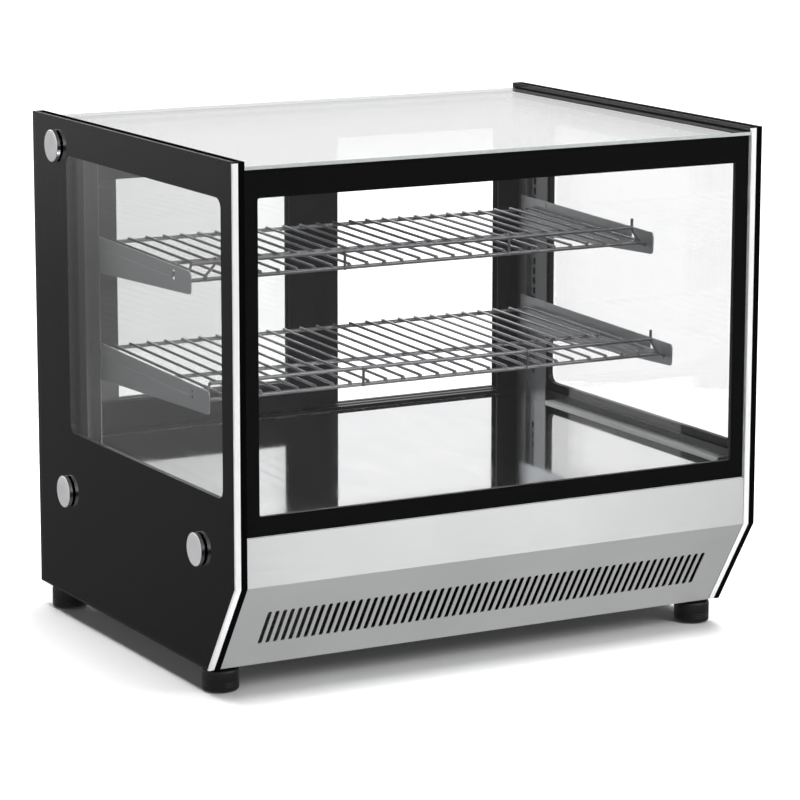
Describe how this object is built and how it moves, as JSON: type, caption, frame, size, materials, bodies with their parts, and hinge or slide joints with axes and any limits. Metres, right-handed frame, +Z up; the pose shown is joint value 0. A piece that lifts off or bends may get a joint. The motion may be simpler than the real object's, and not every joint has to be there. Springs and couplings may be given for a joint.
{
  "type": "heated food display case",
  "caption": "Counter-top heated display case with glass front, top and sides, sloping slotted base, tilted wire shelves on brackets, and sliding glazed rear doors.",
  "frame": {"origin": "on the counter under the middle of the case", "axes": "+X to the customer's right, +Y from the glass front to the sliding rear doors, +Z up"},
  "size_m": [0.724, 0.564, 0.632],
  "materials": {
    "clear_glass": "polished clear glass",
    "black_board": "glossy black backing behind glass",
    "black_seal": "black sealant",
    "spacer_bar": "mill-finish spacer bar",
    "bright_trim": "bright anodised",
    "satin_cap": "satin face, polished rim",
    "screw_steel": "zinc-plated",
    "satin_stainless": "brushed along the length",
    "mirror_stainless": "mirror-polished",
    "sheet_steel": "plain folded sheet",
    "dark_frame": "black powder coat",
    "slotted_steel": "satin",
    "bracket_steel": "satin",
    "shelf_wire": "bright plated wire",
    "door_glide": "nylon",
    "black_plastic": "fine grain",
    "stop_rubber": "matt",
    "foot_rubber": "matt",
    "rocker_red": "glossy",
    "rocker_black": "glossy",
    "heater_tube": "heat-tinted",
    "terminal_white": "ceramic white",
    "lamp_diffuser": "translucent white"
  },
  "bodies": {
    "cabinet": {"base_pan": "sheet_steel", "bracket_lower_left": "bracket_steel", "bracket_lower_right": "bracket_steel", "bracket_upper_left": "bracket_steel", "bracket_upper_right": "bracket_steel", "cable_gland": "black_plastic", "deck_edge_trims": "satin_stainless", "deck_plate": "mirror_stainless", "door_stops": "stop_rubber", "edge_seals": "black_seal", "edge_strips": "bright_trim", "fan_housing": "black_plastic", "front_border_seal": "black_seal", "front_fascia": "satin_stainless", "front_panes": "clear_glass", "front_spacer": "spacer_bar", "heating_elements": "heater_tube", "lamp_diffuser": "lamp_diffuser", "lamp_housing": "slotted_steel", "left_backing_board": "black_board", "left_panes": "clear_glass", "left_spacer": "spacer_bar", "panel_cap_screws": "screw_steel", "panel_caps": "satin_cap", "rear_header_track": "dark_frame", "rear_jamb_left": "dark_frame", "rear_jamb_right": "dark_frame", "rear_panel": "satin_stainless", "rear_panel_screws": "screw_steel", "rear_sill_track": "dark_frame", "right_backing_board": "black_board", "right_panes": "clear_glass", "right_spacer": "spacer_bar", "switch_housings": "black_plastic", "terminal_block": "terminal_white", "thermostat_body": "black_plastic", "top_panes": "clear_glass", "top_spacer": "spacer_bar", "upright_left": "slotted_steel", "upright_right": "slotted_steel"},
    "door_left": {"door_left_frame": "dark_frame", "door_left_panes": "clear_glass", "door_left_spacer": "spacer_bar", "door_left_glides": "door_glide", "door_left_pull": "black_plastic"},
    "door_right": {"door_right_frame": "dark_frame", "door_right_panes": "clear_glass", "door_right_spacer": "spacer_bar", "door_right_glides": "door_glide", "door_right_pull": "black_plastic"},
    "upper_shelf": {"shelf_upper": "shelf_wire"},
    "lower_shelf": {"shelf_lower": "shelf_wire"},
    "knob": {"thermostat_knob": "black_plastic"},
    "power_switch_rocker": {"power_rocker": "rocker_red"},
    "light_switch_rocker": {"light_rocker": "rocker_black"},
    "impeller": {"fan_impeller": "black_plastic"},
    "front_left_foot": {"foot_front_left": "foot_rubber"},
    "front_right_foot": {"foot_front_right": "foot_rubber"},
    "rear_left_foot": {"foot_rear_left": "foot_rubber"},
    "rear_right_foot": {"foot_rear_right": "foot_rubber"}
  },
  "joints": [
    {"name": "left_door_slide", "type": "slide", "parent": "cabinet", "child": "door_left", "axis": [1, 0, 0], "range_m": [0, 0.266]},
    {"name": "right_door_slide", "type": "slide", "parent": "cabinet", "child": "door_right", "axis": [1, 0, 0], "range_m": [0, 0.266]},
    {"name": "upper_shelf_lift", "type": "slide", "parent": "cabinet", "child": "upper_shelf", "axis": [0, 0, 1], "range_m": [0, 0.03]},
    {"name": "lower_shelf_lift", "type": "slide", "parent": "cabinet", "child": "lower_shelf", "axis": [0, 0, 1], "range_m": [0, 0.03]},
    {"name": "thermostat_turn", "type": "hinge", "parent": "cabinet", "child": "knob", "pos_m": [0.12, 0.263, 0.125], "axis": [0, -1, 0], "range_deg": [0, 300]},
    {"name": "power_switch_rock", "type": "hinge", "parent": "cabinet", "child": "power_switch_rocker", "pos_m": [0.19, 0.262, 0.125], "axis": [1, 0, 0], "range_deg": [0, 16]},
    {"name": "light_switch_rock", "type": "hinge", "parent": "cabinet", "child": "light_switch_rocker", "pos_m": [0.236, 0.262, 0.125], "axis": [1, 0, 0], "range_deg": [0, 16]},
    {"name": "fan_spin", "type": "hinge", "parent": "cabinet", "child": "impeller", "pos_m": [0.15, 0.113, 0.153], "axis": [0, 0, 1], "continuous": true},
    {"name": "front_left_foot_turn", "type": "hinge", "parent": "cabinet", "child": "front_left_foot", "pos_m": [-0.329, -0.1865, 0.03], "axis": [0, 0, 1], "continuous": true},
    {"name": "front_right_foot_turn", "type": "hinge", "parent": "cabinet", "child": "front_right_foot", "pos_m": [0.329, -0.1865, 0.03], "axis": [0, 0, 1], "continuous": true},
    {"name": "rear_left_foot_turn", "type": "hinge", "parent": "cabinet", "child": "rear_left_foot", "pos_m": [-0.329, 0.252, 0.03], "axis": [0, 0, 1], "continuous": true},
    {"name": "rear_right_foot_turn", "type": "hinge", "parent": "cabinet", "child": "rear_right_foot", "pos_m": [0.329, 0.252, 0.03], "axis": [0, 0, 1], "continuous": true}
  ]
}
